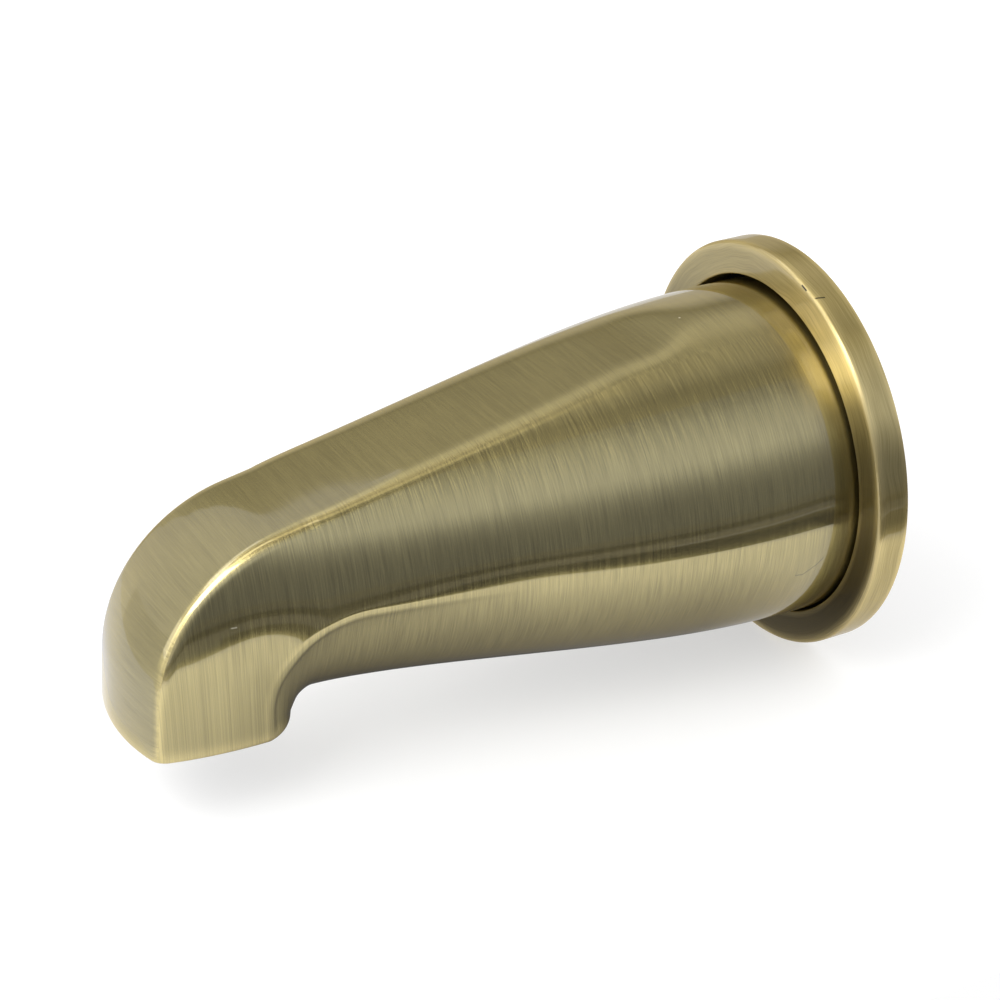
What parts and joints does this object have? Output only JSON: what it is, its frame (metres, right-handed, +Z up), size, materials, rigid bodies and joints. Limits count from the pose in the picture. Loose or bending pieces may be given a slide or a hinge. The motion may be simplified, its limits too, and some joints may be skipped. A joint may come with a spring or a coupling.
{
  "type": "bath spout",
  "caption": "Wall-mounted bath spout: a round barrel tapers to a flat-topped nose that turns down to an open outlet, with a threaded inlet and a loose wall flange.",
  "frame": {"origin": "centre of the wall flange's back face, on the finished wall", "axes": "+Z up, +Y into the wall, so the spout reaches out along -Y and its outlet opens towards -Z"},
  "size_m": [0.076, 0.1333, 0.076],
  "materials": {
    "spout_brass": "brushed antique brass plating on a casting",
    "bush_brass": "bare turned brass",
    "flange_brass": "brushed antique brass plating, warmer than the body"
  },
  "bodies": {
    "root": {"spout_body": "spout_brass", "inlet_bush": "bush_brass", "wall_flange": "flange_brass"}
  },
  "joints": []
}
